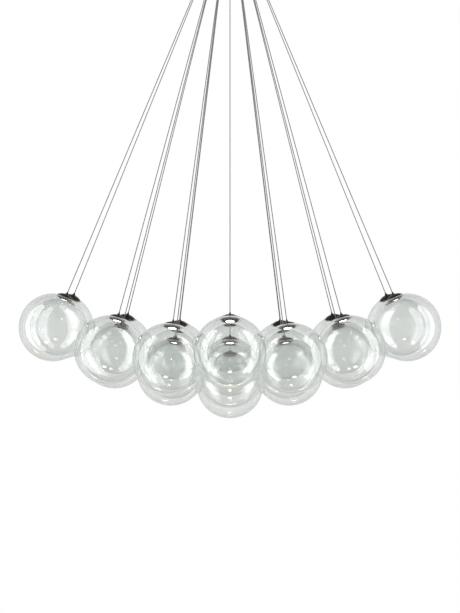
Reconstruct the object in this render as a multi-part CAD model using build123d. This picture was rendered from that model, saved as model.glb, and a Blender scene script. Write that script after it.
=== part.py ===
"""Cluster pendant: clear glass globes on separate cables under one round ceiling canopy.

Millimetres, +Z up. The origin is the centre of the ceiling plate's top face, so the
whole lamp hangs below z = 0. The front of the cluster faces -Y.
"""
from build123d import *
import math
import os

# ---------------------------------------------------------------- driving dimensions
# the cluster: globes stand in columns along Y, packed as a hexagon
column_counts = [2, 3, 4, 5, 4, 3, 2]
globe_gap = 0.4             # least gap between two neighbouring globes
drop_to_lowest = 1000.0     # ceiling to the centre of the lowest, middle globe
bowl_rise = 131.0           # how much higher the outermost globes hang than the middle one
cone_share = 0.62           # part of that rise that grows evenly outwards, as on a cone
bowl_power = 3.0            # the rest grows with this power of the distance
swing_limit = 15.0          # degrees that an outer pendant can be pushed outwards

# glass globe
globe_diameter = 150.0
glass_wall = 2.0
seat_sink = 4.4             # the flat seat of the cap lies this far below the globe's top
seat_width = 5.0            # flat ring of glass from the mouth outwards
mouth_radius = 16.0
shoulder_width = 1.6        # sloping ring between the flat seat and the sphere
shoulder_thinning = 0.2     # share of the wall by which the inner shoulder is narrower
seat_thinning = 0.3         # the same for the inner edge of the flat seat

# cap and lamp
cap_radius = 19.0
cap_rim = 1.0               # height of the cap's thin outer edge
dome_height = 6.2           # from the rim up to where the spindle starts
spindle_base_radius = 5.5
spindle_height = 5.8
spindle_tip_radius = 1.6
spindle_flare = 1.0         # how far the spindle's side swells at flare_share of its height
flare_share = 0.38
dome_bulge = 0.66           # share of the dome's height reached half way out
dome_half_way = 0.52
gasket_thickness = 1.0
mouth_clearance = 0.6       # cap spigot to glass mouth
spigot_drop = 6.4           # how far the cap's nose reaches below its flange
nose_cone = 2.1             # height of the nose's tapered end, below the clip ring's groove
window_rim = 1.2            # metal round the light window
window_radius = 9.4
lamp_clearance = 0.2
lamp_pocket = 5.0           # depth of the pocket for the board and the diffuser
diffuser_thickness = 1.2
board_thickness = 1.6
chip_radius = 4.0
chip_height = 1.0
lead_radius = 0.8
clip_ring_thickness = 0.9
clip_ring_width = 2.8
clip_ring_clearance = 0.1
clip_groove_depth = 0.6
clip_ring_gap = 11.0        # the slot that lets the ring be squeezed through the mouth

# cable
cable_diameter = 2.0
cable_bore_clearance = 0.15
cable_socket = 6.0          # how deep the cable goes into the cap's spindle

# canopy housing
canopy_radius = 130.0
canopy_height = 48.0
canopy_wall = 1.5
canopy_floor = 2.0
canopy_corner = 5.0
hole_pitch = 20.0           # the cable holes repeat the cluster's pattern, much smaller

# cable grips
grip_stem_radius = 4.0
grip_hole_clearance = 0.2
grip_stem_rise = 9.0        # stem above the canopy's floor
grip_flange_height = 3.0
grip_flange_chamfer = 0.6
grip_mouth_depth = 2.4
grip_mouth_land = 2.0       # wall left round the flared mouth
swing_spare = 8.0           # degrees that the flared mouth opens past the furthest swing
grip_top_radius = 1.6       # flat roof of the flared mouth
cable_end_gap = 0.6
nut_across_flats = 12.0
nut_height = 4.0
nut_clearance = 0.1

# ceiling plate
plate_thickness = 2.0
plate_clearance = 2.5       # plate edge to the housing's inside
tab_clearance = 0.35
tab_width = 16.0
tab_height = 18.0
tab_thickness = 3.0
side_screw_count = 3
side_screw_drop = 11.0
side_screw_radius = 2.0
side_screw_head_radius = 4.5
side_screw_head_height = 3.0
side_screw_length = 8.0
side_screw_dome = 1.8
side_screw_slot = 1.0
side_screw_slot_depth = 0.8
screw_hole_clearance = 0.2
ceiling_screw_pcd = 200.0
ceiling_screw_count = 4
ceiling_screw_hole_radius = 2.75
mains_hole_radius = 10.0

# what hangs from the ceiling plate inside the canopy
driver_length = 120.0
driver_width = 42.0
driver_height = 28.0
driver_offset = 83.0
driver_edge = 2.0
driver_ear = 9.0
driver_ear_thickness = 2.0
driver_ear_width = 21.0
small_screw_radius = 1.5
small_screw_head_radius = 2.8
small_screw_head_height = 1.8
small_screw_slot = 0.7
small_screw_slot_depth = 0.5
board_length = 110.0
board_width = 30.0
board_offset = 82.0
board_screw_inset = 5.0
standoff_height = 5.0
standoff_radius = 3.0
output_block_length = 42.0
output_block_width = 10.0
output_block_height = 9.0
output_block_gap = 1.0
output_wire_radius = 1.5
output_wire_pitch = 6.8
output_wire_drop = 5.4
outputs_per_block = 6
mains_block_length = 30.0
mains_block_width = 18.0
mains_block_height = 14.0
mains_block_offset = 88.0
mains_block_edge = 1.5
mains_wire_drop = 9.0
mains_poles = 3
mains_wire_radius = 2.2
clamp_offset = 26.0
clamp_length = 30.0
clamp_width = 8.0
clamp_thickness = 2.5
clamp_cable_room = 7.0
clamp_screw_spacing = 22.0
earth_offset = 62.0
earth_screw_radius = 2.0
earth_head_radius = 4.0
earth_washer_radius = 5.0
earth_washer_thickness = 1.0
earth_head_height = 2.6
stem_bore_radius = 1.3

# ---------------------------------------------------------------- derived sizes
globe_radius = globe_diameter / 2
globe_pitch = globe_diameter + globe_gap
row_step = math.sqrt(3) / 2
canopy_under = -canopy_height
cable_top = canopy_under - grip_flange_height + grip_mouth_depth - cable_end_gap
canopy_inner = canopy_radius - canopy_wall
plate_radius = canopy_inner - plate_clearance
plate_under = -plate_thickness

# heights on a pendant's own axis, with the globe's centre at 0
seat = globe_radius - seat_sink
seat_inside = seat - glass_wall
cap_base = seat + gasket_thickness
cap_edge_top = cap_base + cap_rim
dome_top = cap_edge_top + dome_height
cap_top = dome_top + spindle_height
socket_floor = cap_top - cable_socket
nose_end = cap_base - spigot_drop
spigot_radius = mouth_radius - mouth_clearance
pocket_radius = window_radius + lamp_clearance
pocket_roof = nose_end + lamp_pocket
clip_ring_top = seat_inside - clip_ring_clearance
clip_groove_radius = spigot_radius - clip_groove_depth
cable_bore = cable_diameter / 2 + cable_bore_clearance


def places():
    """Column and row of every pendant, from the front left; the outer ones come first."""
    middle = (len(column_counts) - 1) / 2
    found = []
    for number, count in enumerate(column_counts):
        for row in range(count):
            found.append((number - middle, row - (count - 1) / 2))
    return found


def neighbours(place):
    """The places one pitch away."""
    near = []
    for other in places():
        step = math.hypot((other[0] - place[0]) * row_step, other[1] - place[1])
        if 0.1 < step < 1.1:
            near.append(other)
    return near


def is_outer(place):
    """A globe with a free side, where a neighbour is missing."""
    return len(neighbours(place)) < 6


def turn_from_front(place):
    """Angle round the cluster, from the front, used to number the outer pendants."""
    return math.atan2(place[0] * row_step, -place[1]) % (2 * math.pi)


outer_places = sorted([p for p in places() if is_outer(p)], key=turn_from_front)
inner_places = [p for p in places() if not is_outer(p)]
outermost = max(math.hypot(p[0] * row_step, p[1]) for p in places())


def globe_centre(place):
    """Centre of one globe: a hexagonal plan, lifted towards the rim like a bowl."""
    across = place[0] * row_step
    share = math.hypot(across, place[1]) / outermost
    rise = bowl_rise * (cone_share * share + (1 - cone_share) * share ** bowl_power)
    height = -drop_to_lowest + rise
    return Vector(across * globe_pitch, place[1] * globe_pitch, height)


def cable_exit(place):
    """Where one cable leaves its grip: the pattern of the cluster at the canopy's pitch."""
    return Vector(place[0] * row_step * hole_pitch, place[1] * hole_pitch, cable_top)


def pendant_frame(place):
    """Frame with its origin at the globe's centre and Z along the cable, upwards."""
    centre = globe_centre(place)
    up = (cable_exit(place) - centre).normalized()
    return Plane(origin=centre, x_dir=Vector(0, 1, 0).cross(up), z_dir=up)


def cable_run(place):
    """Length of one cable from its grip to the floor of the cap's socket."""
    return (cable_exit(place) - globe_centre(place)).length - socket_floor


def swing_way(place):
    """Level direction in which an outer pendant leaves all its neighbours."""
    across, along = 0.0, 0.0
    for other in neighbours(place):
        across += (place[0] - other[0]) * row_step
        along += place[1] - other[1]
    size = math.hypot(across, along)
    return Vector(across / size, along / size, 0)


def largest_tilt():
    """The steepest cable, in degrees from straight down."""
    tilts = []
    for place in places():
        run = cable_exit(place) - globe_centre(place)
        tilts.append(math.degrees(math.atan2(math.hypot(run.X, run.Y), run.Z)))
    return max(tilts)


def turned(outline):
    """Solid of revolution about Z from an outline of edges in the XZ plane."""
    face = make_face(outline)
    return revolve(face, axis=Axis.Z, revolution_arc=360)


def path(*points):
    """Straight edges through (radius, height) points."""
    return Polyline(*[(r, 0, z) for r, z in points])


def arc(start, middle, end):
    return ThreePointArc(*[(r, 0, z) for r, z in (start, middle, end)])


def ring(outside, inside, bottom, top):
    """Flat ring between two heights."""
    height = top - bottom
    disc = Pos(0, 0, bottom + height / 2) * Cylinder(outside, height)
    return disc - Pos(0, 0, bottom + height / 2) * Cylinder(inside, height * 2)


# ---------------------------------------------------------------- one pendant
def globe():
    """Blown globe: an even wall, with a flat seat and a round mouth for the cap."""
    inside_radius = globe_radius - glass_wall
    seat_edge = mouth_radius + seat_width
    shoulder = seat_edge + shoulder_width
    shoulder_in = shoulder - glass_wall * shoulder_thinning
    seat_edge_in = seat_edge - glass_wall * seat_thinning
    outer_top = math.sqrt(globe_radius ** 2 - shoulder ** 2)
    inner_top = math.sqrt(inside_radius ** 2 - shoulder_in ** 2)
    outside = arc((0, -globe_radius), (globe_radius, 0), (shoulder, outer_top))
    top = path((shoulder, outer_top), (seat_edge, seat), (mouth_radius, seat),
               (mouth_radius, seat_inside), (seat_edge_in, seat_inside), (shoulder_in, inner_top))
    inside = arc((shoulder_in, inner_top), (inside_radius, 0), (0, -inside_radius))
    axis = path((0, -inside_radius), (0, -globe_radius))
    return turned([outside, top, inside, axis])


def cap():
    """Turned metal cap: a shallow dome with a spindle, a flange and a nose that holds the lamp."""
    nose_radius = window_radius + window_rim
    flare_middle = (spindle_tip_radius + spindle_flare, dome_top + spindle_height * flare_share)
    dome_middle = ((cap_radius + spindle_base_radius) * dome_half_way,
                   cap_edge_top + dome_height * dome_bulge)
    groove_top = clip_ring_top + clip_ring_clearance / 2
    groove_low = clip_ring_top - clip_ring_thickness - clip_ring_clearance / 2
    spindle = arc((spindle_tip_radius, cap_top), flare_middle, (spindle_base_radius, dome_top))
    dome = arc((spindle_base_radius, dome_top), dome_middle, (cap_radius, cap_edge_top))
    rest = path((cap_radius, cap_edge_top), (cap_radius, cap_base), (spigot_radius, cap_base),
                (spigot_radius, groove_top), (clip_groove_radius, groove_top),
                (clip_groove_radius, groove_low), (spigot_radius, groove_low),
                (spigot_radius, nose_end + nose_cone), (nose_radius, nose_end),
                (pocket_radius, nose_end), (pocket_radius, pocket_roof),
                (lead_radius, pocket_roof), (lead_radius, socket_floor),
                (cable_bore, socket_floor), (cable_bore, cap_top), (spindle_tip_radius, cap_top))
    return turned([spindle, dome, rest])


def gasket():
    """Black silicone washer between the cap's flange and the glass."""
    return ring(mouth_radius + seat_width * 0.5, mouth_radius, seat, cap_base)


def clip_ring():
    """Blackened split spring ring in the nose's groove, under the glass, that holds the globe up."""
    low = clip_ring_top - clip_ring_thickness
    inside = clip_groove_radius + clip_ring_clearance
    whole = ring(inside + clip_ring_width, inside, low, clip_ring_top)
    slot = Pos(cap_radius, 0, low) * Box(2 * cap_radius, clip_ring_gap, 4 * clip_ring_thickness)
    return whole - slot


def lamp_board():
    """Round circuit board against the pocket's roof, with the light source under it."""
    board = Pos(0, 0, pocket_roof - board_thickness / 2) * Cylinder(window_radius, board_thickness)
    chip_middle = pocket_roof - board_thickness - chip_height / 2
    return board + Pos(0, 0, chip_middle) * Cylinder(chip_radius, chip_height)


def diffuser():
    """Opal disc that closes the nose, flush with its end."""
    return Pos(0, 0, nose_end + diffuser_thickness / 2) * Cylinder(window_radius, diffuser_thickness)


def cable(place):
    """One straight cable, pulled tight by its globe."""
    run = cable_run(place)
    return Pos(0, 0, socket_floor + run / 2) * Cylinder(cable_diameter / 2, run)


# ---------------------------------------------------------------- canopy
def hole_spots(height):
    """One location for every cable hole, at the given height."""
    return [Pos(cable_exit(p).X, cable_exit(p).Y, height) for p in places()]


def canopy_housing():
    """Spun steel cup with a cable hole for every pendant and three side screw holes."""
    middle = canopy_under / 2
    body = Pos(0, 0, middle) * Cylinder(canopy_radius, canopy_height)
    body = fillet(body.edges().group_by(Axis.Z)[0], canopy_corner)
    hollow_height = canopy_height - canopy_floor
    hollow = Pos(0, 0, -hollow_height / 2) * Cylinder(canopy_inner, hollow_height)
    hollow = fillet(hollow.edges().group_by(Axis.Z)[0], canopy_corner - canopy_wall)
    body -= hollow
    drill = Cylinder(grip_stem_radius + grip_hole_clearance, canopy_floor * 4)
    body -= [spot * drill for spot in hole_spots(canopy_under + canopy_floor / 2)]
    side_drill = Rot(0, 90, 0) * Cylinder(side_screw_radius + screw_hole_clearance, canopy_wall * 6)
    side_spot = Pos(canopy_radius - canopy_wall / 2, 0, -side_screw_drop)
    body -= [Rot(0, 0, turn) * side_spot * side_drill for turn in side_turns()]
    return body


def side_turns():
    """Angles of the side screws, the first one at the back."""
    return [90 + number * 360 / side_screw_count for number in range(side_screw_count)]


def ceiling_plate():
    """Steel disc on the ceiling, with down-turned tabs that the canopy is screwed to."""
    plate = Pos(0, 0, plate_under / 2) * Cylinder(plate_radius, plate_thickness)
    tab_outside = canopy_inner - tab_clearance
    reach = math.sqrt(tab_outside ** 2 - (tab_width / 2) ** 2)
    tab = Pos(reach - tab_thickness / 2, 0, -tab_height / 2) * Box(tab_thickness, tab_width, tab_height)
    tap = Pos(reach, 0, -side_screw_drop) * Rot(0, 90, 0) * Cylinder(side_screw_radius, tab_thickness * 4)
    for turn in side_turns():
        plate += Rot(0, 0, turn) * tab
        plate -= Rot(0, 0, turn) * tap
    drill = Cylinder(ceiling_screw_hole_radius, plate_thickness * 4)
    screws = PolarLocations(ceiling_screw_pcd / 2, ceiling_screw_count, start_angle=45)
    plate -= [spot * drill for spot in screws]
    plate -= Cylinder(mains_hole_radius, plate_thickness * 4)
    for x, y in small_screw_spots():
        plate -= Pos(x, y, 0) * Cylinder(small_screw_radius, plate_thickness * 4)
    plate -= Pos(earth_offset, 0, 0) * Cylinder(earth_screw_radius, plate_thickness * 4)
    return plate


def side_screw(turn):
    """Domed screw through the canopy's wall into a tab."""
    head = Pos(0, 0, side_screw_head_height / 2) * Cylinder(side_screw_head_radius, side_screw_head_height)
    head = fillet(head.edges().group_by(Axis.Z)[-1], side_screw_dome)
    slot = Box(side_screw_head_radius * 1.5, side_screw_slot, 2 * side_screw_slot_depth)
    head -= Pos(0, 0, side_screw_head_height) * slot
    shank = Pos(0, 0, -side_screw_length / 2) * Cylinder(side_screw_radius, side_screw_length)
    screw = Pos(canopy_radius, 0, -side_screw_drop) * Rot(0, 90, 0) * (head + shank)
    return Rot(0, 0, turn) * screw


def cable_grip():
    """Grip in the canopy's floor: flange with a flared mouth, threaded stem and cable bore."""
    flange_low = -grip_flange_height
    stem_top = canopy_floor + grip_stem_rise
    swing_room = math.radians(largest_tilt() + swing_limit + swing_spare)
    mouth_wide = grip_top_radius + grip_mouth_depth * math.tan(swing_room)
    mouth_top = flange_low + grip_mouth_depth
    flange = mouth_wide + grip_mouth_land
    outline = path((stem_bore_radius, stem_top), (grip_stem_radius, stem_top), (grip_stem_radius, 0),
                   (flange, 0), (flange, flange_low + grip_flange_chamfer),
                   (flange - grip_flange_chamfer, flange_low), (mouth_wide, flange_low),
                   (grip_top_radius, mouth_top), (stem_bore_radius, mouth_top),
                   (stem_bore_radius, stem_top))
    return turned([outline])


def grip_nut():
    """Hexagon nut that holds a grip from inside the canopy."""
    corner = nut_across_flats / math.sqrt(3)
    block = extrude(RegularPolygon(corner, 6), nut_height)
    return block - Cylinder(grip_stem_radius + nut_clearance, nut_height * 4)


# ---------------------------------------------------------------- electrics under the ceiling plate
def driver_screw_reach():
    return driver_length / 2 + driver_ear / 2


def board_corner():
    return board_length / 2 - board_screw_inset, board_width / 2 - board_screw_inset


def small_screw_spots():
    """Every small screw that goes up into the ceiling plate."""
    spots = [(side * driver_screw_reach(), driver_offset) for side in (-1, 1)]
    corner_x, corner_y = board_corner()
    spots += [(x * corner_x, -board_offset + y * corner_y) for x in (-1, 1) for y in (-1, 1)]
    spots += [(-mains_block_offset, 0)]
    spots += [(clamp_offset, side * clamp_screw_spacing / 2) for side in (-1, 1)]
    return spots


def driver_case():
    """Closed driver case that turns mains into the low lamp voltage, with a screw ear at each end."""
    middle = Pos(0, driver_offset, plate_under - driver_height / 2)
    case = middle * Box(driver_length, driver_width, driver_height)
    case = fillet(case.edges().filter_by(Axis.Z), driver_edge)
    ears = Pos(0, driver_offset, plate_under - driver_ear_thickness / 2)
    ears *= Box(driver_length + 2 * driver_ear, driver_ear_width, driver_ear_thickness)
    case += ears
    for side in (-1, 1):
        spot = Pos(side * driver_screw_reach(), driver_offset, plate_under)
        case -= spot * Cylinder(small_screw_radius + screw_hole_clearance, driver_ear_thickness * 4)
    return case


def output_board():
    """Board that shares the low voltage out to the pendants."""
    z = plate_under - standoff_height - board_thickness / 2
    board = Pos(0, -board_offset, z) * Box(board_length, board_width, board_thickness)
    corner_x, corner_y = board_corner()
    for x in (-1, 1):
        for y in (-1, 1):
            spot = Pos(x * corner_x, -board_offset + y * corner_y, z)
            board -= spot * Cylinder(small_screw_radius + screw_hole_clearance, board_thickness * 4)
    return board


def board_posts():
    """Four spacer sleeves between the ceiling plate and the board."""
    corner_x, corner_y = board_corner()
    sleeve = ring(standoff_radius, small_screw_radius + screw_hole_clearance,
                  plate_under - standoff_height, plate_under)
    return [Pos(x * corner_x, -board_offset + y * corner_y, 0) * sleeve
            for x in (-1, 1) for y in (-1, 1)]


def output_blocks():
    """Four rows of wire sockets on the board's lower face."""
    top = plate_under - standoff_height - board_thickness
    blocks = []
    for side_x in (-1, 1):
        for side_y in (-1, 1):
            x = side_x * (output_block_length + output_block_gap) / 2
            y = -board_offset + side_y * (output_block_width + output_block_gap) / 2
            block = Pos(x, y, top - output_block_height / 2)
            block *= Box(output_block_length, output_block_width, output_block_height)
            for number in range(outputs_per_block):
                along = x + (number - (outputs_per_block - 1) / 2) * output_wire_pitch
                hole = Pos(along, y + side_y * output_block_width / 2, top - output_wire_drop)
                block -= hole * Rot(90, 0, 0) * Cylinder(output_wire_radius, output_block_width)
            blocks.append(block)
    return blocks


def mains_block():
    """Three-pole terminal block for the supply wires, held by one screw through its middle."""
    middle = Pos(-mains_block_offset, 0, plate_under - mains_block_height / 2)
    block = middle * Box(mains_block_width, mains_block_length, mains_block_height)
    block = fillet(block.edges().filter_by(Axis.Z), mains_block_edge)
    pitch = mains_block_length / mains_poles
    for pole in range(mains_poles):
        y = (pole - (mains_poles - 1) / 2) * pitch
        spot = Pos(-mains_block_offset, y, plate_under - mains_wire_drop)
        reach = mains_block_width / 2
        for side in (-1, 1):
            mouth = Pos(side * reach, 0, 0) * Rot(0, 90, 0) * Cylinder(mains_wire_radius, reach)
            block -= spot * mouth
    bore = Pos(-mains_block_offset, 0, plate_under - mains_block_height / 2)
    block -= bore * Cylinder(small_screw_radius + screw_hole_clearance, mains_block_height * 2)
    return block


def cord_clamp():
    """Bridge that would hold the supply cable where it comes in, on two feet."""
    foot = (clamp_length - clamp_screw_spacing) / 2
    drop = clamp_cable_room + clamp_thickness
    outer = Pos(clamp_offset, 0, plate_under - drop / 2) * Box(clamp_width, clamp_length, drop)
    room_length = clamp_screw_spacing - 2 * foot
    room = Pos(clamp_offset, 0, plate_under - clamp_cable_room / 2)
    room *= Box(clamp_width * 2, room_length, clamp_cable_room)
    bridge = outer - room
    for side in (-1, 1):
        spot = Pos(clamp_offset, side * clamp_screw_spacing / 2, plate_under)
        bridge -= spot * Cylinder(small_screw_radius + screw_hole_clearance, drop * 4)
    return bridge


def earth_screw():
    """Earth screw and washer under the plate."""
    washer = Pos(earth_offset, 0, plate_under - earth_washer_thickness / 2)
    washer *= Cylinder(earth_washer_radius, earth_washer_thickness)
    head_low = plate_under - earth_washer_thickness - earth_head_height / 2
    head = Pos(earth_offset, 0, head_low) * Cylinder(earth_head_radius, earth_head_height)
    shank = Pos(earth_offset, 0, plate_under / 2) * Cylinder(earth_screw_radius, plate_thickness)
    return washer + head + shank


def plate_screws():
    """The small screws that hold the electrics, each bearing on its own piece."""
    ear_face = plate_under - driver_ear_thickness
    board_face = plate_under - standoff_height - board_thickness
    faces = [ear_face] * 2 + [board_face] * 4 + [plate_under - mains_block_height]
    faces += [plate_under - clamp_cable_room - clamp_thickness] * 2
    screws = []
    for (x, y), face in zip(small_screw_spots(), faces):
        screws.append(long_screw(x, y, face))
    return screws


def long_screw(x, y, face):
    """Small screw as long as it needs to reach the plate's top face."""
    shank = Pos(x, y, face / 2) * Cylinder(small_screw_radius, -face)
    head = Pos(x, y, face - small_screw_head_height / 2)
    head *= Cylinder(small_screw_head_radius, small_screw_head_height)
    head = fillet(head.edges().group_by(Axis.Z)[0], small_screw_head_height / 2)
    slot = Pos(x, y, face - small_screw_head_height)
    slot *= Box(small_screw_head_radius * 1.5, small_screw_slot, 2 * small_screw_slot_depth)
    return head + shank - slot


# ---------------------------------------------------------------- write the nodes
def solids_of(shapes):
    """Every solid of a shape or of a list of shapes."""
    if not isinstance(shapes, (list, tuple)):
        shapes = [shapes]
    return [solid for shape in shapes for solid in shape.solids()]


def write(node, shapes):
    """One STEP file for one node, with each separate piece as its own solid."""
    export_step(Compound(children=solids_of(shapes)), f"parts/{node}.step")


def build():
    os.makedirs("parts", exist_ok=True)
    glass, metal, washer, clip = globe(), cap(), gasket(), clip_ring()
    board, window = lamp_board(), diffuser()
    for number, place in enumerate(outer_places, start=1):
        seated = pendant_frame(place).location
        write(f"globe_{number:02d}", seated * glass)
        write(f"head_{number:02d}", [seated * piece for piece in (metal, washer, clip, board, window)])
        write(f"cable_{number:02d}", seated * cable(place))
    inner = {"inner_globes": glass, "inner_caps": metal, "inner_gaskets": washer,
             "inner_clip_rings": clip, "inner_lamp_boards": board, "inner_diffusers": window}
    for node, piece in inner.items():
        write(node, [pendant_frame(place).location * piece for place in inner_places])
    write("inner_cables", [pendant_frame(p).location * cable(p) for p in inner_places])
    grip, nut = cable_grip(), grip_nut()
    write("canopy_housing", canopy_housing())
    write("ceiling_plate", ceiling_plate())
    write("canopy_screws", [side_screw(turn) for turn in side_turns()])
    write("cable_grips", [spot * grip for spot in hole_spots(canopy_under)])
    write("grip_nuts", [spot * nut for spot in hole_spots(canopy_under + canopy_floor)])
    write("led_driver", driver_case())
    write("output_board", [output_board()] + board_posts() + output_blocks())
    write("mains_terminal_block", mains_block())
    write("cord_clamp", cord_clamp())
    write("plate_screws", plate_screws())
    write("earth_screw", earth_screw())
    lengths = [cable_run(place) for place in places()]
    print(f"{len(places())} pendants, {len(outer_places)} of them on the outside")
    print(f"cables from {min(lengths):.1f} to {max(lengths):.1f} mm, steepest {largest_tilt():.1f} degrees")


build()
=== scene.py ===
# %% [markdown]
# # A cluster pendant of blown glass globes
# Twenty-three clear globes hang close together under one round canopy. Each globe has its
# own thin cable and a small dark cap with a lamp in it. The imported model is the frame: it
# gives the real sizes and the moving bodies, and this script dresses it. All lengths are in
# metres, unless a line says otherwise.

# %% Load the frame
import math
import bmesh
import bpy
from mathutils import Matrix, Vector


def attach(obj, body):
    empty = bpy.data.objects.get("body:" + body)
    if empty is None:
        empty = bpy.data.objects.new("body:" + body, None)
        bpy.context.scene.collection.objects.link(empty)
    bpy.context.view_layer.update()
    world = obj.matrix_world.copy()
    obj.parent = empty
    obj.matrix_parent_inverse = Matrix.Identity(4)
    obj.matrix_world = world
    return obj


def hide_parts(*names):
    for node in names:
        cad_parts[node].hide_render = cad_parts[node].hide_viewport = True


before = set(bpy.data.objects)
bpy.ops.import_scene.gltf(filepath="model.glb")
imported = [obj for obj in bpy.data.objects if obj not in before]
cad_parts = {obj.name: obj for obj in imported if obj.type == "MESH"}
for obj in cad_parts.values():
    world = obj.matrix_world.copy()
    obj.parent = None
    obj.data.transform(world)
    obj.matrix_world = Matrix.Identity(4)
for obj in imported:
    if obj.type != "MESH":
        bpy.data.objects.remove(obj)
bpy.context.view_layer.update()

# %% [markdown]
# ## Where every pendant hangs
# The globes stand in seven columns and pack like a honeycomb. Placing 23 pendants by hand
# would be slow and uneven, so a rule places them: a column and a row give the plan, and the
# distance from the middle gives the height. An outer pendant has fewer than six neighbours,
# so it can swing out.

# %% The honeycomb
COLUMN_COUNTS = [2, 3, 4, 5, 4, 3, 2]
COLUMN_STEP = math.sqrt(3) / 2  # in pitches
NEIGHBOUR_REACH = 1.1           # in pitches
NEIGHBOURS_INSIDE = 6


def places():
    """Column and row of every pendant, counted from the middle."""
    middle = (len(COLUMN_COUNTS) - 1) // 2
    return [(number - middle, row - (count - 1) / 2)
            for number, count in enumerate(COLUMN_COUNTS) for row in range(count)]


def spread(place):
    """How far a place is from the middle, in pitches."""
    return math.hypot(place[0] * COLUMN_STEP, place[1])


def is_outer(place):
    """A pendant with a free side: fewer than six neighbours."""
    gaps = [spread((other[0] - place[0], other[1] - place[1]))
            for other in places() if other != place]
    return len([gap for gap in gaps if gap < NEIGHBOUR_REACH]) < NEIGHBOURS_INSIDE


def round_from_front(place):
    """Angle round the cluster, from the front towards the right."""
    return math.atan2(place[0] * COLUMN_STEP, -place[1]) % (2 * math.pi)


outer_places = sorted([p for p in places() if is_outer(p)], key=round_from_front)
inner_places = [p for p in places() if not is_outer(p)]
print(f"{len(outer_places)} pendants outside, {len(inner_places)} inside")

# %% [markdown]
# ## Heights, and the upper ends of the cables
# The globes' heights follow a bowl: part of its rise is a straight cone, and the rest is a
# cubic curve that lifts the outermost globes. Upwards the cables close in to a small copy of
# the honeycomb. A pendant's own frame has its Z along its cable, so a piece that is modelled
# upright can be set on any pendant at once.

# %% The bowl and the frames of the pendants
GLOBE_RADIUS = 0.075
GLOBE_PITCH = 0.1504
LOWEST_CENTRE = -1.0
BOWL_RISE = 0.131
CONE_SHARE, BOWL_POWER = 0.62, 3.0
HOLE_PITCH = 0.020
CABLE_TOP = -0.0492


def globe_centre(place):
    """Centre of a pendant's globe."""
    share = spread(place) / max(spread(p) for p in places())
    rise = BOWL_RISE * (CONE_SHARE * share + (1 - CONE_SHARE) * share ** BOWL_POWER)
    return Vector((place[0] * COLUMN_STEP * GLOBE_PITCH, place[1] * GLOBE_PITCH,
                   LOWEST_CENTRE + rise))


def cable_exit(place):
    """Point in the canopy's grip where a pendant's cable comes out."""
    return Vector((place[0] * COLUMN_STEP * HOLE_PITCH, place[1] * HOLE_PITCH, CABLE_TOP))


def pendant_frame(place):
    """Origin at the globe's centre, Z up along the cable."""
    centre = globe_centre(place)
    up = (cable_exit(place) - centre).normalized()
    side = Vector((0, 1, 0)).cross(up).normalized()
    turn = Matrix((side, up.cross(side), up)).transposed()
    return Matrix.Translation(centre) @ turn.to_4x4()


heights = [globe_centre(p).z for p in places()]
print(f"globe centres from {min(heights):.3f} to {max(heights):.3f} m")

# %% [markdown]
# ## The camera
# The photograph looks level at the cluster from a little over three metres away, through a
# long lens. The horizon lies just under the picture's middle. Tilting the camera would make
# upright lines lean, so the lens is shifted a little instead.

# %% Camera
CAMERA_PLACE = (0.0, -3.211, -0.8327)
FOCAL_LENGTH, SENSOR_WIDTH = 83.45, 36.0  # millimetres
LENS_SHIFT = 0.0072                       # share of the picture's longer side

camera_data = bpy.data.cameras.new("front_camera")
camera_data.lens = FOCAL_LENGTH
camera_data.sensor_width = SENSOR_WIDTH
camera_data.shift_y = LENS_SHIFT
camera = bpy.data.objects.new("front_camera", camera_data)
camera.location = CAMERA_PLACE
camera.rotation_euler = (math.pi / 2, 0, 0)
bpy.context.scene.collection.objects.link(camera)
bpy.context.scene.camera = camera
print(f"camera {abs(CAMERA_PLACE[1]):.2f} m in front")

# %% [markdown]
# ## The cables
# Each cable is a straight line, because its globe pulls it tight. It leaves a grip in the
# canopy and ends on the floor of a socket in the cap. A cylinder would do for the shape, but
# a NURBS curve with a round bevel also says where the line runs. Two more points on the line,
# one near each end, keep the ends straight.

# %% A taut cable
CABLE_DIAMETER = 0.002
SOCKET_FLOOR = 0.0786  # above the globe's centre
END_RUN = 6 * CABLE_DIAMETER


def taut_cable(name, place):
    """One cable as a bevelled NURBS curve."""
    top, centre = cable_exit(place), globe_centre(place)
    up = (top - centre).normalized()
    low = centre + up * SOCKET_FLOOR
    route = [top, top - up * END_RUN, low + up * END_RUN, low]
    curve = bpy.data.curves.new(name, "CURVE")
    curve.dimensions = "3D"
    curve.bevel_depth = 1.0  # each point's radius scales it down to the cable's
    curve.bevel_resolution = 4
    curve.use_fill_caps = True
    line = curve.splines.new("NURBS")
    line.points.add(len(route) - 1)
    for point, spot in zip(line.points, route):
        point.co = (*spot, 1)
        point.radius = CABLE_DIAMETER / 2
    line.order_u = 3
    line.use_endpoint_u = True
    line.resolution_u = 3
    made = bpy.data.objects.new(name, curve)
    bpy.context.scene.collection.objects.link(made)
    return made


print(f"a cable ends {SOCKET_FLOOR * 1000:.1f} mm above its globe's centre")

# %% All the cables
def dress_pendant(piece, number, kind):
    """The piece stands for one pendant's packed cable or globe, and rides on its body."""
    outside = number <= len(outer_places)
    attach(piece, f"pendant_{number:02d}" if outside else "root")
    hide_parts(f"{kind}_{number:02d}" if outside else f"inner_{kind}s")


cables = []
for number, place in enumerate(outer_places + inner_places, start=1):
    cables.append(taut_cable(f"taut_cable_{number:02d}", place))
    dress_pendant(cables[-1], number, "cable")
print(f"{len(cables)} cables")

# %% [markdown]
# ## Small helpers for node trees
# Materials and Geometry Nodes are both made of nodes. Written out in full, every node takes
# several lines. One helper adds a node, sets it and links it, and others wrap the kinds that
# come up again and again.

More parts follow.
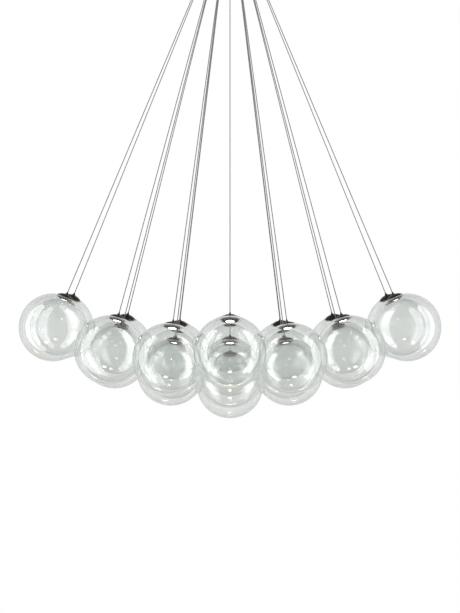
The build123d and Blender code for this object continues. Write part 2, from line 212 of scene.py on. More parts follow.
# %% Helpers that add nodes
def add_node(tree, kind, inputs=None, **settings):
    """A node with its settings, and its inputs given as values or as sockets to link."""
    node = tree.nodes.new(kind)
    for name, value in settings.items():
        setattr(node, name, value)
    for key, value in (inputs or {}).items():
        if isinstance(value, bpy.types.NodeSocket):
            tree.links.new(value, node.inputs[key])
        else:
            node.inputs[key].default_value = value
    return node


def maths(tree, operation, *values):
    """Result of a Math node on numbers or sockets."""
    return add_node(tree, "ShaderNodeMath", dict(enumerate(values)),
                    operation=operation).outputs[0]


def scaled(tree, vector, factor):
    """A vector or a colour, times a number."""
    return add_node(tree, "ShaderNodeVectorMath", {0: vector, "Scale": factor},
                    operation="SCALE").outputs[0]


def mix_colours(tree, factor, first, second):
    """The first colour where the factor is 0, the second where it is 1."""
    # inputs 6 and 7 are a Mix node's colour sockets, and output 2 is its colour
    return add_node(tree, "ShaderNodeMix", {"Factor": factor, 6: first, 7: second},
                    data_type="RGBA").outputs[2]


print("four helpers add nodes")

# %% Helpers that start a group or a material
def new_group(name, kind, inputs, outputs):
    """A node group; inputs are (name, socket type, default), outputs (name, socket type)."""
    group = bpy.data.node_groups.new(name, kind)
    for label, socket, value in inputs:
        made = group.interface.new_socket(label, in_out="INPUT", socket_type=socket)
        if value is not None:
            made.default_value = value
    for label, socket in outputs:
        group.interface.new_socket(label, in_out="OUTPUT", socket_type=socket)
    return group, group.nodes.new("NodeGroupInput"), group.nodes.new("NodeGroupOutput")


def new_material(name):
    """A material, its node tree and its Principled BSDF."""
    material = bpy.data.materials.new(name)
    material.use_nodes = True
    material.node_tree.nodes.clear()
    shader = material.node_tree.nodes.new("ShaderNodeBsdfPrincipled")
    output = material.node_tree.nodes.new("ShaderNodeOutputMaterial")
    material.node_tree.links.new(shader.outputs["BSDF"], output.inputs["Surface"])
    return material, material.node_tree, shader


print("two helpers start a group and a material")

# %% [markdown]
# ## Studio: walls, floor and two tall soft boxes
# Clear glass has no colour of its own, so what it shows is the studio. A modelled room would
# do, but the world can give each kind of ray its own wall. The camera itself sees plain
# white, rays that came through glass see a light grey wall, and mirrored rays see a darker
# one. For all rays but the camera's, the studio gets darker towards its top and bottom, which
# draws the dark rings near a globe's rim.

# %% World
WALL_THROUGH_GLASS = (0.90, 0.90, 0.895, 1)
WALL_BY_REFLECTION = (0.72, 0.73, 0.72, 1)
AMBIENT = (0.42, 0.42, 0.42, 1)
WHITE = (1, 1, 1, 1)
FADE_START, FADE_END = 0.40, 0.88  # sine of the angle above or below the level
DARK_TOP_AND_BOTTOM = 0.18

world = bpy.data.worlds.new("studio")
bpy.context.scene.world = world
world.use_nodes = True
sky = world.node_tree
sky.nodes.clear()
path = add_node(sky, "ShaderNodeLightPath")
way = add_node(sky, "ShaderNodeTexCoord")
height = add_node(sky, "ShaderNodeSeparateXYZ", {0: way.outputs["Generated"]})
level = maths(sky, "ABSOLUTE", height.outputs["Z"])
fade = add_node(sky, "ShaderNodeMapRange", {0: level, 1: FADE_START, 2: FADE_END, 3: 1.0,
                                            4: DARK_TOP_AND_BOTTOM},
                interpolation_type="SMOOTHSTEP")
mirrored = maths(sky, "GREATER_THAN", path.outputs["Glossy Depth"], 0.5)
passed = maths(sky, "GREATER_THAN", path.outputs["Transmission Depth"], 0.5)
wall = mix_colours(sky, passed, AMBIENT, WALL_THROUGH_GLASS)
wall = mix_colours(sky, mirrored, wall, WALL_BY_REFLECTION)
faded = scaled(sky, wall, fade.outputs[0])
seen = mix_colours(sky, path.outputs["Is Camera Ray"], faded, WHITE)
backdrop = add_node(sky, "ShaderNodeBackground", {"Color": seen, "Strength": 1.0})
add_node(sky, "ShaderNodeOutputWorld", {"Surface": backdrop.outputs[0]})
print("world has four sides: seen, through glass, mirrored, ambient")

# %% [markdown]
# ## Soft boxes
# The long curved light bands on the globes are two tall soft boxes, one at each side. As
# real lamps they would also light the room, so their material gives light only to rays that
# a surface has mirrored, and is clear for all the others.

# %% Soft boxes that only reflections see
SOFT_BOX_STRENGTH = 3.4
FLOOR_HEIGHT = -3.2
# each box stands on the floor between two points of the plan
RIGHT_BOX, RIGHT_BOX_TOP = ((1.9, -1.00), (1.9, 0.12)), 2.1
LEFT_BOX, LEFT_BOX_TOP = ((-1.15, -0.01), (-0.99, -0.58)), 0.8


def only_in_reflections(name, strength):
    """Light for rays that were mirrored at least once, and nothing for all the others."""
    material = bpy.data.materials.new(name)
    material.use_nodes = True
    tree = material.node_tree
    tree.nodes.clear()
    ray = add_node(tree, "ShaderNodeLightPath")
    was_mirrored = maths(tree, "GREATER_THAN", ray.outputs["Glossy Depth"], 0.5)
    clear = add_node(tree, "ShaderNodeBsdfTransparent")
    light = add_node(tree, "ShaderNodeEmission", {"Color": WHITE, "Strength": strength})
    mix = add_node(tree, "ShaderNodeMixShader", {0: was_mirrored, 1: clear.outputs[0],
                                                 2: light.outputs[0]})
    add_node(tree, "ShaderNodeOutputMaterial", {"Surface": mix.outputs[0]})
    material.cycles.emission_sampling = "NONE"
    return material


def soft_box(name, foot, top, material):
    """Upright panel that stands on the floor, between the two points of its foot."""
    start, end = foot
    mesh = bpy.data.meshes.new(name)
    corners = [(*start, FLOOR_HEIGHT), (*end, FLOOR_HEIGHT), (*end, top), (*start, top)]
    mesh.from_pydata(corners, [], [(0, 1, 2, 3)])
    mesh.materials.append(material)
    panel = bpy.data.objects.new(name, mesh)
    bpy.context.scene.collection.objects.link(panel)


box_light = only_in_reflections("soft_box_light", SOFT_BOX_STRENGTH)
soft_box("soft_box_right", RIGHT_BOX, RIGHT_BOX_TOP, box_light)
soft_box("soft_box_left", LEFT_BOX, LEFT_BOX_TOP, box_light)
print(f"two soft boxes, {RIGHT_BOX_TOP - FLOOR_HEIGHT:.1f} m and "
      f"{LEFT_BOX_TOP - FLOOR_HEIGHT:.1f} m high")

# %% [markdown]
# ## Even light
# Canopy, caps and cables are matt or satin, and they need light of their own. Three large
# area lamps give it from both sides and from behind. Glass and metal would mirror them as
# hard squares, so mirrored and passing rays don't see them.

# %% Lamps
LAMP_AIM = Vector((0, 0, -0.9))
LAMPS = {"lamp_right": ((2.6, -2.2, 0.6), 2.0, 95),  # place, size of a side, power in watts
         "lamp_left": ((-2.8, -2.0, 0.4), 2.4, 80),
         "lamp_back": ((0.4, 3.2, 0.8), 2.4, 60)}

for name, (place, size, power) in LAMPS.items():
    data = bpy.data.lights.new(name, "AREA")
    data.size = size
    data.energy = power
    lamp = bpy.data.objects.new(name, data)
    lamp.location = place
    aim = LAMP_AIM - Vector(place)
    lamp.rotation_euler = aim.to_track_quat("-Z", "Y").to_euler()
    lamp.visible_camera = lamp.visible_glossy = lamp.visible_transmission = False
    bpy.context.scene.collection.objects.link(lamp)
print(f"{len(LAMPS)} lamps")

# %% [markdown]
# ## Floor
# The floor is a plain pale disc far below. Lit by the lamps alone it would come out grey, so
# the camera sees it mostly as white, and a share of its real paint keeps the shadow.

# %% Floor
FLOOR_RADIUS = 3.2
FLOOR_PAINT = (0.8, 0.8, 0.79, 1)
FLOOR_WHITE_SHARE = 0.72

floor_mesh = bpy.data.meshes.new("floor")
shape = bmesh.new()
bmesh.ops.create_circle(shape, cap_ends=True, segments=96, radius=FLOOR_RADIUS,
                        matrix=Matrix.Translation((0, 0, FLOOR_HEIGHT)))
shape.to_mesh(floor_mesh)
shape.free()
floor = bpy.data.objects.new("floor", floor_mesh)
bpy.context.scene.collection.objects.link(floor)

floor_finish, tree, shader = new_material("floor_paint")
shader.inputs["Base Color"].default_value = FLOOR_PAINT
shader.inputs["Roughness"].default_value = 0.9
ray = add_node(tree, "ShaderNodeLightPath")
glow = add_node(tree, "ShaderNodeEmission", {"Color": WHITE, "Strength": 1.0})
share = maths(tree, "MULTIPLY", ray.outputs["Is Camera Ray"], FLOOR_WHITE_SHARE)
mix = add_node(tree, "ShaderNodeMixShader", {0: share, 1: shader.outputs[0],
                                             2: glow.outputs[0]})
tree.links.new(mix.outputs[0], tree.nodes["Material Output"].inputs["Surface"])
floor_mesh.materials.append(floor_finish)
print(f"floor {abs(FLOOR_HEIGHT)} m below the ceiling")

# %% [markdown]
# ## Light paths and colour
# A ray crosses up to five globes here, and each globe has four faces of glass, so the
# bounce limits are raised. Otherwise the far glass would turn black. The Standard view
# transform shows each colour as it is written.

# %% Bounces and view transform
cycles = bpy.context.scene.cycles
cycles.max_bounces = 48
cycles.transmission_bounces = 48
cycles.glossy_bounces = 16
cycles.transparent_max_bounces = 16
bpy.context.scene.view_settings.view_transform = "Standard"
print("up to", cycles.max_bounces, "bounces")

# %% [markdown]
# ## Shared shader groups
# Real surfaces are never quite even. An image could show that, but noise that is worked out
# from the place on the piece has no seams. One group gives soft, cloudy changes of colour
# and gloss, and another one gives the fine rings that a lathe leaves.

# %% Group: cloudy changes
def cloudy_group():
    """Soft variation of a colour and of a roughness."""
    group, given, result = new_group(
        "cloudy_change", "ShaderNodeTree",
        [("Vector", "NodeSocketVector", None), ("Color", "NodeSocketColor", (0.5, 0.5, 0.5, 1)),
         ("Roughness", "NodeSocketFloat", 0.4), ("Size", "NodeSocketFloat", 0.01),
         ("Color Change", "NodeSocketFloat", 0.05), ("Roughness Change", "NodeSocketFloat", 0.05)],
        [("Color", "NodeSocketColor"), ("Roughness", "NodeSocketFloat"),
         ("Height", "NodeSocketFloat")])
    rate = maths(group, "DIVIDE", 1.0, given.outputs["Size"])
    noise = add_node(group, "ShaderNodeTexNoise", {"Vector": given.outputs["Vector"],
                                                   "Scale": rate, "Detail": 4.0}).outputs["Fac"]
    centred = maths(group, "SUBTRACT", noise, 0.5)
    change = maths(group, "MULTIPLY", centred, given.outputs["Color Change"])
    colour = scaled(group, given.outputs["Color"], maths(group, "ADD", change, 1.0))
    rough = maths(group, "MULTIPLY_ADD", centred, given.outputs["Roughness Change"],
                  given.outputs["Roughness"])
    group.links.new(colour, result.inputs["Color"])
    group.links.new(rough, result.inputs["Roughness"])
    group.links.new(noise, result.inputs["Height"])
    return group


cloudy = cloudy_group()
print(cloudy.name, "has", len(cloudy.nodes), "nodes")

# %% Group: rings left by the lathe
def lathe_group():
    """Height of fine rings round a piece's own axis, from its own coordinates."""
    group, given, result = new_group(
        "lathe_rings", "ShaderNodeTree",
        [("Own Place", "NodeSocketVector", None), ("Spacing", "NodeSocketFloat", 0.0003)],
        [("Height", "NodeSocketFloat")])
    parts = add_node(group, "ShaderNodeSeparateXYZ", {0: given.outputs["Own Place"]})
    flat = add_node(group, "ShaderNodeCombineXYZ", {"X": parts.outputs["X"],
                                                    "Y": parts.outputs["Y"]})
    radius = add_node(group, "ShaderNodeVectorMath", {0: flat.outputs[0]}, operation="LENGTH")
    line = add_node(group, "ShaderNodeCombineXYZ", {"X": radius.outputs["Value"],
                                                    "Z": parts.outputs["Z"]})
    rate = maths(group, "DIVIDE", 1.0, given.outputs["Spacing"])
    noise = add_node(group, "ShaderNodeTexNoise", {"Vector": line.outputs[0], "Scale": rate,
                                                   "Detail": 2.0})
    group.links.new(noise.outputs["Fac"], result.inputs["Height"])
    return group


lathe = lathe_group()
print(lathe.name, "has", len(lathe.nodes), "nodes")

# %% [markdown]
# ## Finishes
# Every finish is a Principled BSDF. Numbers that are the same all over sit on its own
# sockets, and only what changes over the surface comes through the groups. A turned piece
# carries its own coordinates in an attribute, own_place, so its rings stay round its axis
# even where the pendant is tilted. Other pieces use Object coordinates.

# %% One way to make a plain finish
def finish(name, colour, roughness, metallic=0.0, size=0.01, colour_change=0.06,
           roughness_change=0.08, bump=0.0, bump_depth=0.0002, turned=False,
           ring_spacing=None, **sockets):
    """A material with cloudy colour and gloss, and with bumps from clouds or lathe rings."""
    material, tree, shader = new_material(name)
    if turned:
        spot = add_node(tree, "ShaderNodeAttribute", attribute_name="own_place").outputs["Vector"]
    else:
        spot = add_node(tree, "ShaderNodeTexCoord").outputs["Object"]
    clouds = add_node(tree, "ShaderNodeGroup", {
        "Vector": spot, "Color": (*colour, 1), "Roughness": roughness, "Size": size,
        "Color Change": colour_change, "Roughness Change": roughness_change}, node_tree=cloudy)
    tree.links.new(clouds.outputs["Color"], shader.inputs["Base Color"])
    tree.links.new(clouds.outputs["Roughness"], shader.inputs["Roughness"])
    shader.inputs["Metallic"].default_value = metallic
    for key, value in sockets.items():
        shader.inputs[key.replace("_", " ")].default_value = value
    if bump:
        source = clouds
        if ring_spacing:
            source = add_node(tree, "ShaderNodeGroup", {"Own Place": spot,
                                                        "Spacing": ring_spacing}, node_tree=lathe)
        relief = add_node(tree, "ShaderNodeBump", {"Strength": bump, "Distance": bump_depth,
                                                   "Height": source.outputs["Height"]})
        tree.links.new(relief.outputs[0], shader.inputs["Normal"])
    return material


print("finish is ready")

# %% [markdown]
# ## Finishes for the pendants
# The cap is dark bronze, turned and satin. Its gasket is black silicone, and the clip ring
# is blackened spring steel. The cable has a dark grey jacket, and the lamp board is white.

# %% Bronze, jacket, silicone, spring steel and lamp board
bronze = finish("dark_bronze", (0.017, 0.014, 0.012), 0.38, metallic=0.3, size=0.006,
                colour_change=0.5, roughness_change=0.12, bump=0.25, bump_depth=0.00004,
                turned=True, ring_spacing=0.0004, Specular_IOR_Level=0.3)
jacket = finish("grey_cable_jacket", (0.16, 0.16, 0.16), 0.5, size=0.002, bump=0.3,
                bump_depth=0.0001)
silicone = finish("black_silicone", (0.016, 0.016, 0.017), 0.6, size=0.002, turned=True)
spring_steel = finish("blackened_spring_steel", (0.022, 0.021, 0.020), 0.42, metallic=0.5,
                      size=0.001, bump=0.15, bump_depth=0.00002, turned=True,
                      ring_spacing=0.0002)
white_board = finish("white_lamp_board", (0.85, 0.85, 0.82), 0.4, size=0.003, turned=True)
for line in cables:
    line.data.materials.append(jacket)
print("finishes for the pendants, and", len(cables), "cables painted")

# %% [markdown]
# ## Glass
# The glass is clear and thin, and faintly grey-green. A tinted surface alone would look like
# plastic film. Most of the colour is in the volume instead: light that runs along the wall
# at the rim crosses more glass and comes out darker, so the rim draws itself.

# %% Clear blown glass
WALL = 0.002
GLASS_COLOUR = (0.952, 0.957, 0.954, 1)
GLASS_TINT = (0.50, 0.60, 0.565, 1)
GLASS_DENSITY = 24.0  # per metre
GLASS_IOR = 1.5

glass, tree, shader = new_material("clear_blown_glass")
for key, value in {"Base Color": GLASS_COLOUR, "Roughness": 0.0, "Metallic": 0.0,
                   "IOR": GLASS_IOR, "Transmission Weight": 1.0}.items():
    shader.inputs[key].default_value = value
tint = add_node(tree, "ShaderNodeVolumeAbsorption", {"Color": GLASS_TINT,
                                                     "Density": GLASS_DENSITY})
tree.links.new(tint.outputs[0], tree.nodes["Material Output"].inputs["Volume"])
print("the volume takes", round(1 - math.exp(-(1 - GLASS_TINT[0]) * GLASS_DENSITY * 2 * WALL), 3),
      "of the red light that crosses a globe's two walls")

# %% [markdown]
# ## The lit window
# Under each cap a round opal window is lit by a small lamp board. A lamp in every cap would
# be slow and noisy, so the window itself glows: warm white over the light source, and dim at
# its edge, where the cap shades it. The globes mirror it as small bright specks.

# %% Lit opal window
WINDOW_RADIUS = 0.0094
BRIGHT_RADIUS = 0.004
WINDOW_GLOW = (1.0, 0.90, 0.74, 1)
WINDOW_EDGE_GLOW = (0.10, 0.055, 0.025, 1)
WINDOW_STRENGTH = 32.0

opal, tree, shader = new_material("lit_opal_window")
own = add_node(tree, "ShaderNodeAttribute", attribute_name="own_place")
flat = add_node(tree, "ShaderNodeVectorMath", {0: own.outputs["Vector"], 1: (1, 1, 0)},
                operation="MULTIPLY")
radius = add_node(tree, "ShaderNodeVectorMath", {0: flat.outputs[0]}, operation="LENGTH")
ramp = add_node(tree, "ShaderNodeMapRange", {0: radius.outputs["Value"], 1: BRIGHT_RADIUS,
                                             2: WINDOW_RADIUS, 3: 0.0, 4: 1.0},
                interpolation_type="SMOOTHSTEP")
glow = mix_colours(tree, ramp.outputs[0], WINDOW_GLOW, WINDOW_EDGE_GLOW)
tree.links.new(glow, shader.inputs["Emission Color"])
shader.inputs["Emission Strength"].default_value = WINDOW_STRENGTH
shader.inputs["Base Color"].default_value = (0.9, 0.88, 0.84, 1)
shader.inputs["Roughness"].default_value = 0.5
opal.cycles.emission_sampling = "NONE"
print(f"opal window {WINDOW_RADIUS * 2000:.1f} mm across")

# %% [markdown]
# ## Turned pieces with Geometry Nodes
# Globe, cap, gasket, lamp board and window are all turned round the pendant's axis. The spin
# tool could make each of them, but one node tree makes them all, and sets each on any number
# of pendants. It has three stages. The first bends a grid round the axis so that each row
# follows a profile, and closes the seam and the poles.

# %% First stage: a grid bent round the axis
MERGE_DISTANCE = 1e-6


def whole_maths(tree, operation, first, second):
    """Result of an Integer Math node."""
    return add_node(tree, "FunctionNodeIntegerMath", {0: first, 1: second},
                    operation=operation).outputs[0]


def bent_grid(tree, given):
    """The profile turned round Z, as a closed mesh."""
    profile = add_node(tree, "GeometryNodeObjectInfo",
                       {"Object": given.outputs["Profile"]}).outputs["Geometry"]
    count = add_node(tree, "GeometryNodeAttributeDomainSize", {0: profile},
                     component="MESH").outputs["Point Count"]
    columns = whole_maths(tree, "ADD", given.outputs["Steps Around"], 1)
    grid = add_node(tree, "GeometryNodeMeshGrid", {"Vertices X": columns, "Vertices Y": count})
    index = add_node(tree, "GeometryNodeInputIndex").outputs[0]
    along = whole_maths(tree, "MODULO", index, count)
    around = whole_maths(tree, "DIVIDE_FLOOR", index, count)
    spot = add_node(tree, "GeometryNodeInputPosition").outputs[0]
    line = add_node(tree, "GeometryNodeSampleIndex", {"Geometry": profile, "Value": spot,
                                                      "Index": along},
                    data_type="FLOAT_VECTOR", domain="POINT")
    share = maths(tree, "DIVIDE", around, given.outputs["Steps Around"])
    angle = maths(tree, "MULTIPLY", share, 2 * math.pi)
    turned = add_node(tree, "ShaderNodeVectorRotate", {"Vector": line.outputs[0],
                                                       "Angle": angle}, rotation_type="Z_AXIS")
    bent = add_node(tree, "GeometryNodeSetPosition", {"Geometry": grid.outputs["Mesh"],
                                                      "Position": turned.outputs[0]})
    return add_node(tree, "GeometryNodeMergeByDistance",
                    {"Geometry": bent.outputs[0], "Distance": MERGE_DISTANCE}).outputs[0]


print("first stage ready")

# %% [markdown]
# ### Second stage: an uneven wall, and creases
# A blown globe is never a perfect ball, so noise pushes its wall inwards by a hair. The noise
# fades out where the cap sits, because the gasket needs an even seat. Each point first stores
# where it is on the even piece, for the finishes. Edges that turn sharply are kept crisp.

# %% Second stage: push inwards and crease
SEED_STEP = 3.7    # how far apart two seeds lie in the noise
EVEN_FADE = 0.02   # height over which the noise fades out


def remember_place(tree, geometry):
    """Store every point's own coordinates as the attribute own_place."""
    spot = add_node(tree, "GeometryNodeInputPosition").outputs[0]
    return add_node(tree, "GeometryNodeStoreNamedAttribute",
                    {"Geometry": geometry, "Name": "own_place", "Value": spot},
                    data_type="FLOAT_VECTOR", domain="POINT").outputs[0]


def pushed_inwards(tree, given, geometry):
    """Push the wall towards the centre by noise, less and less up to Even Above."""
    spot = add_node(tree, "GeometryNodeInputPosition").outputs[0]
    seed = maths(tree, "MULTIPLY", given.outputs["Seed"], SEED_STEP)
    rate = maths(tree, "DIVIDE", 1.0, given.outputs["Unevenness Size"])
    noise = add_node(tree, "ShaderNodeTexNoise", {"Vector": spot, "W": seed, "Scale": rate,
                                                  "Detail": 1.0}, noise_dimensions="4D")
    parts = add_node(tree, "ShaderNodeSeparateXYZ", {0: spot})
    low_edge = maths(tree, "SUBTRACT", given.outputs["Even Above"], EVEN_FADE)
    mask = add_node(tree, "ShaderNodeMapRange", {0: parts.outputs["Z"], 1: low_edge,
                                                 2: given.outputs["Even Above"], 3: 1.0, 4: 0.0},
                    interpolation_type="SMOOTHSTEP").outputs[0]
    depth = maths(tree, "MULTIPLY", noise.outputs["Fac"], given.outputs["Unevenness"])
    inward = maths(tree, "MULTIPLY", maths(tree, "MULTIPLY", depth, mask), -1.0)
    way = add_node(tree, "ShaderNodeVectorMath", {0: spot}, operation="NORMALIZE").outputs[0]
    return add_node(tree, "GeometryNodeSetPosition",
                    {"Geometry": geometry, "Offset": scaled(tree, way, inward)}).outputs[0]


def smooth_with_creases(tree, given, geometry):
    """Smooth faces, with sharp edges where two faces meet at more than the crease angle."""
    soft = add_node(tree, "GeometryNodeSetShadeSmooth", {"Geometry": geometry}, domain="FACE")
    edge = add_node(tree, "GeometryNodeInputMeshEdgeAngle")
    hard = add_node(tree, "FunctionNodeCompare", {0: edge.outputs["Unsigned Angle"],
                                                  1: given.outputs["Crease Angle"]},
                    data_type="FLOAT", operation="GREATER_THAN")
    return add_node(tree, "GeometryNodeSetShadeSmooth",
                    {"Geometry": soft.outputs[0], "Selection": hard.outputs[0],
                     "Shade Smooth": False}, domain="EDGE").outputs[0]


print("second stage ready")

# %% [markdown]
# ### Third stage: a copy on every pendant
# The piece's own mesh is only points, one for each pendant, and each point carries the
# pendant's tilt. The tree sets a copy on every point, makes the copies real, because an
# export drops instances, and gives them their material.

# %% Third stage and the whole tree
def copied_to_places(tree, given, geometry):
    """A real copy on every point, turned as the point says, with its material."""
    tilt = add_node(tree, "GeometryNodeInputNamedAttribute", {"Name": "turn"},
                    data_type="QUATERNION")
    copies = add_node(tree, "GeometryNodeInstanceOnPoints",
                      {"Points": given.outputs["Places"], "Instance": geometry})
    tree.links.new(tilt.outputs["Attribute"], copies.inputs["Rotation"])
    real = add_node(tree, "GeometryNodeRealizeInstances", {0: copies.outputs[0]})
    return add_node(tree, "GeometryNodeSetMaterial",
                    {"Geometry": real.outputs[0],
                     "Material": given.outputs["Material"]}).outputs[0]


def turned_tree():
    """Geometry Nodes tree that turns a profile and sets it on the piece's points."""
    tree, given, result = new_group(
        "turned_piece", "GeometryNodeTree",
        [("Places", "NodeSocketGeometry", None), ("Profile", "NodeSocketObject", None),
         ("Steps Around", "NodeSocketInt", 96), ("Crease Angle", "NodeSocketFloat", 0.6),
         ("Unevenness", "NodeSocketFloat", 0.0), ("Unevenness Size", "NodeSocketFloat", 0.05),
         ("Even Above", "NodeSocketFloat", 0.06), ("Seed", "NodeSocketInt", 0),
         ("Material", "NodeSocketMaterial", None)],
        [("Piece", "NodeSocketGeometry")])
    piece = remember_place(tree, bent_grid(tree, given))
    piece = smooth_with_creases(tree, given, pushed_inwards(tree, given, piece))
    tree.links.new(copied_to_places(tree, given, piece), result.inputs["Piece"])
    return tree


turning = turned_tree()
print(len(turning.nodes), "nodes in", turning.name)

# %% [markdown]
# ### Running the tree
# The tree runs as a modifier. A modifier knows its inputs by their identifiers, so a small
# table leads from each name to its identifier. The finished shape is then kept as a plain
# mesh, and the modifier goes.

# %% Run the tree and keep a plain mesh
def input_keys(tree):
    """Identifier of every named input, which is how a modifier knows them."""
    return {item.name: item.identifier for item in tree.interface.items_tree
            if item.item_type == "SOCKET" and item.in_out == "INPUT"}


def link_object(name, mesh):
    """A new object in the scene that shows the mesh."""
    made = bpy.data.objects.new(name, mesh)
    bpy.context.scene.collection.objects.link(made)
    return made


def points_mesh(name, frames):
    """Mesh with one point for each frame, which carries the frame's turn."""
    mesh = bpy.data.meshes.new(name)
    mesh.from_pydata([tuple(f.translation) for f in frames], [], [])
    turn = mesh.attributes.new("turn", "QUATERNION", "POINT")
    for item, f in zip(turn.data, frames):
        item.value = tuple(f.to_quaternion())
    return mesh


def turned_piece(name, profile, frames, material, steps=96, **more):
    """One finished mesh object: the profile turned and set on every frame."""
    rail = bpy.data.meshes.new(name + "_profile")
    rail.from_pydata([(r, 0, z) for r, z in profile], [], [])
    rail_object = link_object(name + "_profile", rail)
    piece = link_object(name, points_mesh(name, frames))
    modifier = piece.modifiers.new("turned", "NODES")
    modifier.node_group = turning
    keys = input_keys(turning)
    values = {"Profile": rail_object, "Steps Around": steps, "Material": material, **more}
    for key, value in values.items():
        modifier[keys[key.replace("_", " ")]] = value
    bpy.context.view_layer.update()
    evaluated = piece.evaluated_get(bpy.context.evaluated_depsgraph_get())
    mesh = bpy.data.meshes.new_from_object(evaluated)
    piece.modifiers.clear()
    piece.data = mesh
    mesh.name = name
    bpy.data.objects.remove(rail_object)
    return piece


print("a modifier of the tree has", len(input_keys(turning)), "inputs")

# %% [markdown]
# ## Profiles
# A profile is a list of (radius, height) pairs, with heights above the globe's centre. A
# corner that real glass or metal would round off gets a small curve, because an edge without
# one catches no light and looks drawn.

# %% Rounding and arcs
def rounded(points, radius, steps=4):
    """The points as a line whose inner corners are curves of about this radius."""
    line = [points[0]]
    for before, corner, after in zip(points, points[1:], points[2:]):
        b, c, a = Vector(before), Vector(corner), Vector(after)
        reach = min(radius, (b - c).length * 0.45, (a - c).length * 0.45)
        start, end = c + (b - c).normalized() * reach, c + (a - c).normalized() * reach
        for step in range(steps + 1):
            t = step / steps
            spot = start * (1 - t) ** 2 + c * 2 * t * (1 - t) + end * t * t
            line.append((spot.x, spot.y))
    return line + [points[-1]]


def ball(radius, start, end, steps):
    """Points on a circle round the centre; angles are up from the level, in degrees."""
    turns = [math.radians(start + (end - start) * n / steps) for n in range(steps + 1)]
    return [(radius * math.cos(t), radius * math.sin(t)) for t in turns]


def through(a, b, c, steps):
    """Arc through three points, without its first one."""
    (ax, ay), (bx, by), (cx, cy) = a, b, c
    d = 2 * (ax * (by - cy) + bx * (cy - ay) + cx * (ay - by))
    ux = ((ax * ax + ay * ay) * (by - cy) + (bx * bx + by * by) * (cy - ay)
          + (cx * cx + cy * cy) * (ay - by)) / d
    uy = ((ax * ax + ay * ay) * (cx - bx) + (bx * bx + by * by) * (ax - cx)
          + (cx * cx + cy * cy) * (bx - ax)) / d
    size = math.hypot(ax - ux, ay - uy)
    first, last = math.atan2(ay - uy, ax - ux), math.atan2(cy - uy, cx - ux)
    sweep = (last - first + math.pi) % (2 * math.pi) - math.pi
    return [(ux + size * math.cos(first + sweep * n / steps),
             uy + size * math.sin(first + sweep * n / steps)) for n in range(1, steps + 1)]


print("three helpers draw profiles")

# %% [markdown]
# ## The globe's wall
# A globe is a blown ball with a pressed mouth. Its shoulder goes over into a flat seat for
# the gasket, and the seat has a round hole. A ball with a thickness modifier would have no
# seat, so the profile goes up outside, in through the mouth and down inside.

# %% Profile of the globe
SEAT = 0.0706                                # height of the seat
MOUTH, SEAT_EDGE, SHOULDER = 0.0160, 0.021, 0.0226  # radii, outside
SEAT_EDGE_IN, SHOULDER_IN = 0.0204, 0.0222   # radii, inside
MOUTH_ROUNDING = 0.0008
ARC_STEPS = 64


def globe_profile():
    """Outside from the bottom pole up, over the seat, in through the mouth and down inside."""
    inner_radius = GLOBE_RADIUS - WALL
    top_angle = math.degrees(math.acos(SHOULDER / GLOBE_RADIUS))
    inner_angle = math.degrees(math.acos(SHOULDER_IN / inner_radius))
    outside = ball(GLOBE_RADIUS, -90, top_angle, ARC_STEPS)
    inside = ball(inner_radius, inner_angle, -90, ARC_STEPS)
    corners = [outside[-2], outside[-1], (SEAT_EDGE, SEAT), (MOUTH, SEAT), (MOUTH, SEAT - WALL),
               (SEAT_EDGE_IN, SEAT - WALL), inside[0], inside[1]]
    line = outside[:-2] + rounded(corners, MOUTH_ROUNDING) + inside[2:]
    line[0], line[-1] = (0, -GLOBE_RADIUS), (0, -inner_radius)
    return line


globe_line = globe_profile()
print(len(globe_line), "points round the globe's wall")

# %% [markdown]
# ## The globes
# Each globe is its own mesh, because each one is a piece of glass of its own, and the outer
# ones move. The seed changes the waviness from globe to globe.

# %% Blown globes
GLOBE_STEPS = 112
WAVE_DEPTH, WAVE_SIZE = 0.00001, 0.05
EVEN_ABOVE = 0.062

for number, place in enumerate(outer_places + inner_places, start=1):
    globe = turned_piece(f"glass_globe_{number:02d}", globe_line, [pendant_frame(place)], glass,
                         steps=GLOBE_STEPS, Unevenness=WAVE_DEPTH, Unevenness_Size=WAVE_SIZE,
                         Even_Above=EVEN_ABOVE, Seed=number)
    dress_pendant(globe, number, "globe")
print("globe:", len(globe.data.vertices), "points")

# %% [markdown]
# ## The cap
# The cap is one turned piece: a thin spindle that flares into a low dome, a flange that
# covers the gasket, and a nose that goes into the globe like a stopper. The nose has a groove
# for the clip ring and a pocket for the lamp. Two bores take the cable and its leads.

# %% Sizes of the cap
CAP_RADIUS, CAP_BASE, CAP_RIM = 0.019, 0.0716, 0.0010
DOME_HEIGHT = 0.0062
DOME_TOP = CAP_BASE + CAP_RIM + DOME_HEIGHT
SPINDLE_BASE, SPINDLE_TIP, CAP_TOP = 0.0055, 0.0016, 0.0846
NOSE, NOSE_END = 0.0154, 0.0652
NOSE_CONE, NOSE_TIP = 0.0021, 0.0106  # height of the cone at the nose's end, and its radius
GROOVE, GROOVE_TOP, GROOVE_LOW = 0.0148, 0.06855, 0.06755
POCKET, POCKET_ROOF = 0.0096, 0.0702
CABLE_BORE, LEAD_BORE = 0.00115, 0.0008
EDGE_ROUNDING, WAIST_ROUNDING, SMALL_ROUNDING = 0.0003, 0.0012, 0.0002
print(f"cap {CAP_RADIUS * 2000:.0f} mm across, {(CAP_TOP - NOSE_END) * 1000:.1f} mm high")

# %% Profile of the cap
FLARE_REACH, FLARE_SHARE = 0.0010, 0.38  # the spindle's middle: out from its tip, and up
BULGE_OUT, BULGE_UP = 0.52, 0.66         # the dome's middle: out and up, as shares


